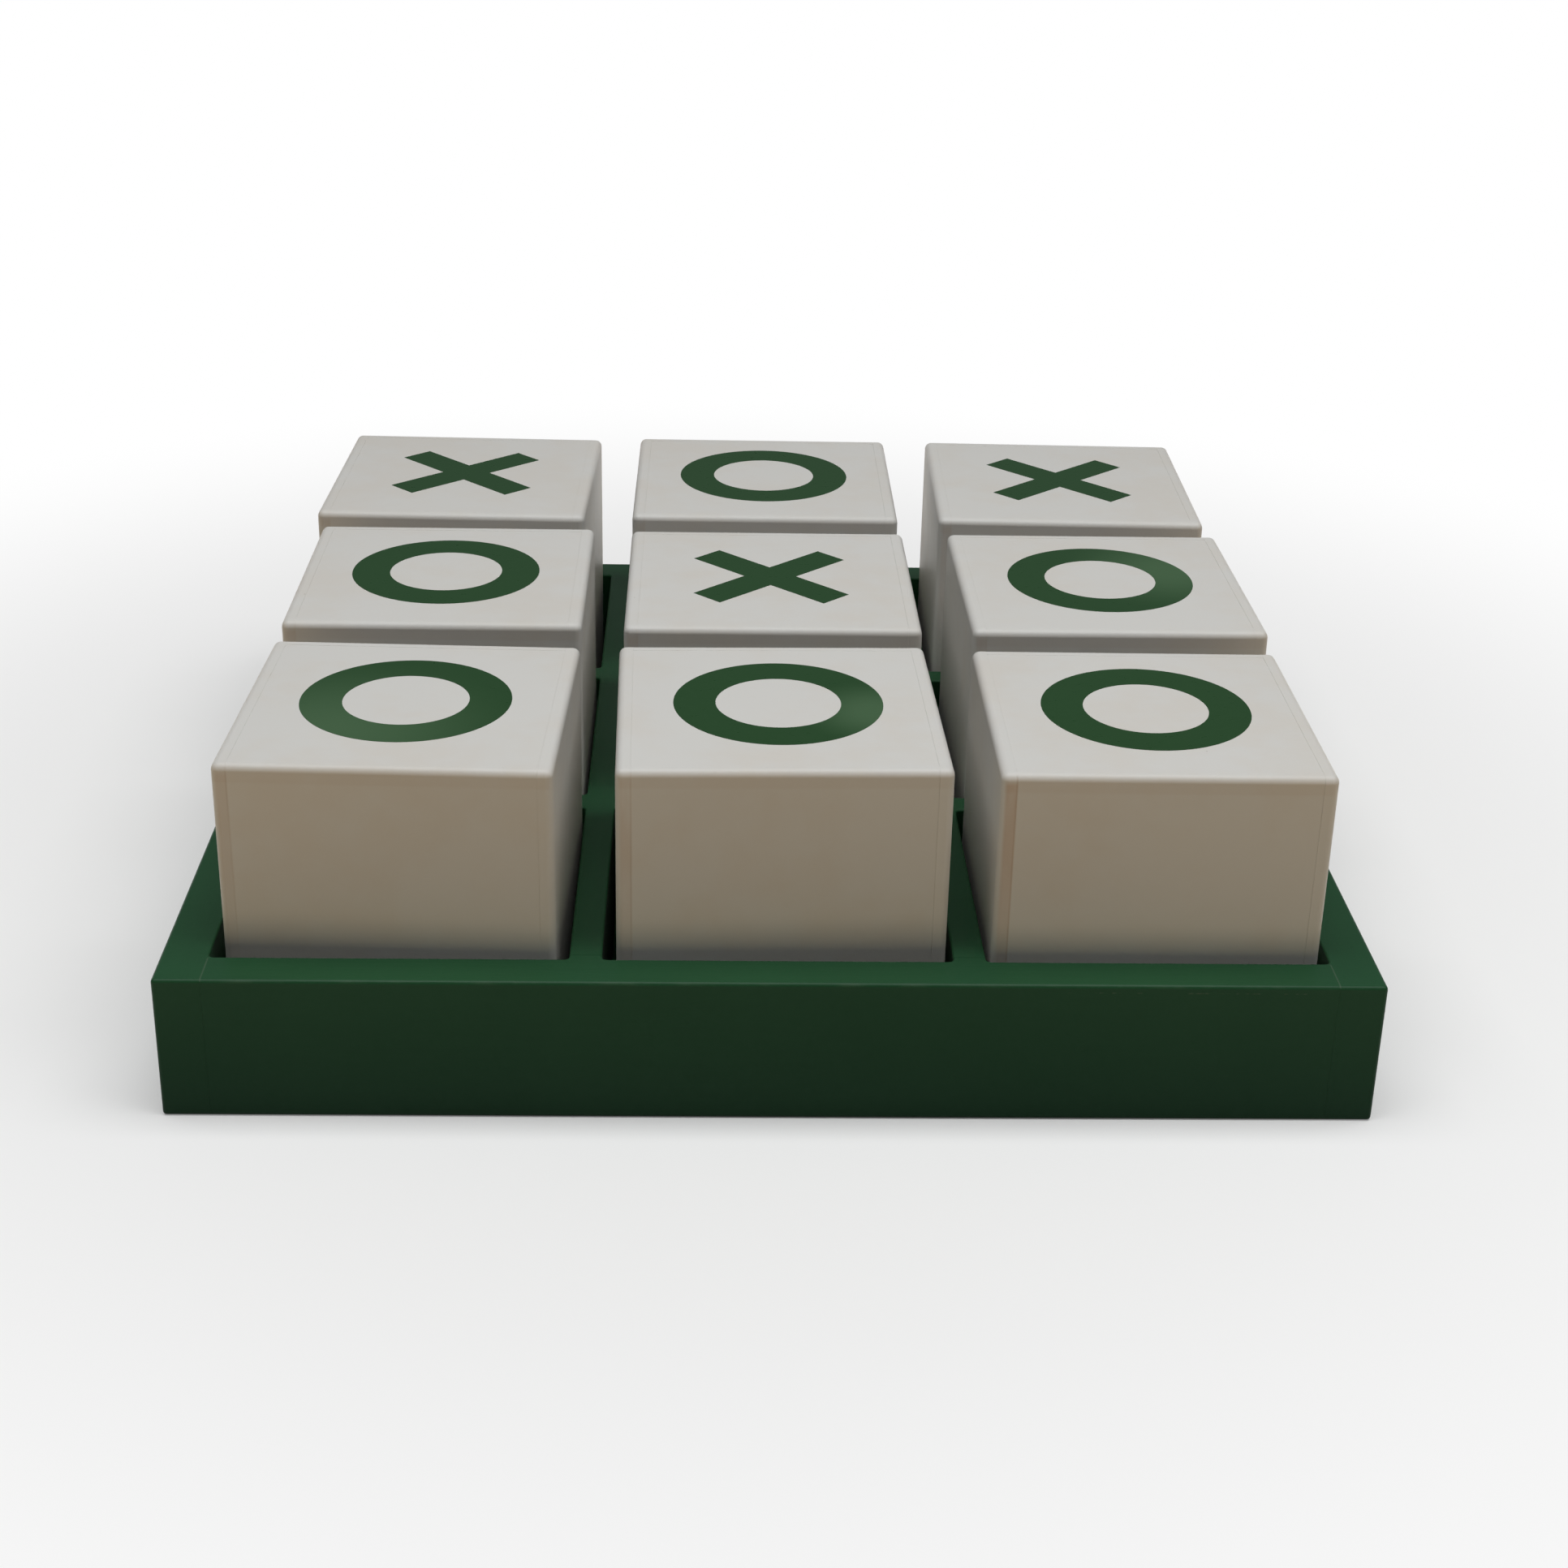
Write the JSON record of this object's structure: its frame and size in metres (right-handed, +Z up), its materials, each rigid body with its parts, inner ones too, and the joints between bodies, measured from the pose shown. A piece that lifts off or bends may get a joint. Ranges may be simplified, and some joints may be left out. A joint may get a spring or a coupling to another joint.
{
  "type": "tic tac toe set",
  "caption": "Square lacquered tray divided into wells, each holding a loose hollow cube block with a painted X or O on its top.",
  "frame": {"origin": "centre of the tray's underside", "axes": "+Z up out of the wells, -Y towards the player, +X to the player's right"},
  "size_m": [0.24, 0.24, 0.07],
  "materials": {
    "tray_lacquer": "dark green satin lacquer over board",
    "block_lacquer": "off-white satin lacquer over thin panels",
    "mark_paint": "green gloss mark, flush with the block's face"
  },
  "bodies": {
    "tray": {"front_rail": "tray_lacquer", "back_rail": "tray_lacquer", "left_rail": "tray_lacquer", "right_rail": "tray_lacquer", "base_panel": "tray_lacquer", "front_cross_divider": "tray_lacquer", "back_cross_divider": "tray_lacquer", "left_long_divider": "tray_lacquer", "right_long_divider": "tray_lacquer"},
    "front_left_block": {"front_left_block_top_panel": "block_lacquer", "front_left_block_bottom_panel": "block_lacquer", "front_left_block_side_walls": "block_lacquer", "front_left_block_end_walls": "block_lacquer", "front_left_block_marks": "mark_paint"},
    "front_centre_block": {"front_centre_block_top_panel": "block_lacquer", "front_centre_block_bottom_panel": "block_lacquer", "front_centre_block_side_walls": "block_lacquer", "front_centre_block_end_walls": "block_lacquer", "front_centre_block_marks": "mark_paint"},
    "front_right_block": {"front_right_block_top_panel": "block_lacquer", "front_right_block_bottom_panel": "block_lacquer", "front_right_block_side_walls": "block_lacquer", "front_right_block_end_walls": "block_lacquer", "front_right_block_marks": "mark_paint"},
    "middle_left_block": {"middle_left_block_top_panel": "block_lacquer", "middle_left_block_bottom_panel": "block_lacquer", "middle_left_block_side_walls": "block_lacquer", "middle_left_block_end_walls": "block_lacquer", "middle_left_block_marks": "mark_paint"},
    "middle_centre_block": {"middle_centre_block_top_panel": "block_lacquer", "middle_centre_block_bottom_panel": "block_lacquer", "middle_centre_block_side_walls": "block_lacquer", "middle_centre_block_end_walls": "block_lacquer", "middle_centre_block_marks": "mark_paint"},
    "middle_right_block": {"middle_right_block_top_panel": "block_lacquer", "middle_right_block_bottom_panel": "block_lacquer", "middle_right_block_side_walls": "block_lacquer", "middle_right_block_end_walls": "block_lacquer", "middle_right_block_marks": "mark_paint"},
    "back_left_block": {"back_left_block_top_panel": "block_lacquer", "back_left_block_bottom_panel": "block_lacquer", "back_left_block_side_walls": "block_lacquer", "back_left_block_end_walls": "block_lacquer", "back_left_block_marks": "mark_paint"},
    "back_centre_block": {"back_centre_block_top_panel": "block_lacquer", "back_centre_block_bottom_panel": "block_lacquer", "back_centre_block_side_walls": "block_lacquer", "back_centre_block_end_walls": "block_lacquer", "back_centre_block_marks": "mark_paint"},
    "back_right_block": {"back_right_block_top_panel": "block_lacquer", "back_right_block_bottom_panel": "block_lacquer", "back_right_block_side_walls": "block_lacquer", "back_right_block_end_walls": "block_lacquer", "back_right_block_marks": "mark_paint"}
  },
  "joints": [
    {"name": "front_left_block_lift", "type": "slide", "parent": "tray", "child": "front_left_block", "axis": [0, 0, 1], "range_m": [0, 0.075]},
    {"name": "front_centre_block_lift", "type": "slide", "parent": "tray", "child": "front_centre_block", "axis": [0, 0, 1], "range_m": [0, 0.075]},
    {"name": "front_right_block_lift", "type": "slide", "parent": "tray", "child": "front_right_block", "axis": [0, 0, 1], "range_m": [0, 0.075]},
    {"name": "middle_left_block_lift", "type": "slide", "parent": "tray", "child": "middle_left_block", "axis": [0, 0, 1], "range_m": [0, 0.075]},
    {"name": "middle_centre_block_lift", "type": "slide", "parent": "tray", "child": "middle_centre_block", "axis": [0, 0, 1], "range_m": [0, 0.075]},
    {"name": "middle_right_block_lift", "type": "slide", "parent": "tray", "child": "middle_right_block", "axis": [0, 0, 1], "range_m": [0, 0.075]},
    {"name": "back_left_block_lift", "type": "slide", "parent": "tray", "child": "back_left_block", "axis": [0, 0, 1], "range_m": [0, 0.075]},
    {"name": "back_centre_block_lift", "type": "slide", "parent": "tray", "child": "back_centre_block", "axis": [0, 0, 1], "range_m": [0, 0.075]},
    {"name": "back_right_block_lift", "type": "slide", "parent": "tray", "child": "back_right_block", "axis": [0, 0, 1], "range_m": [0, 0.075]}
  ]
}
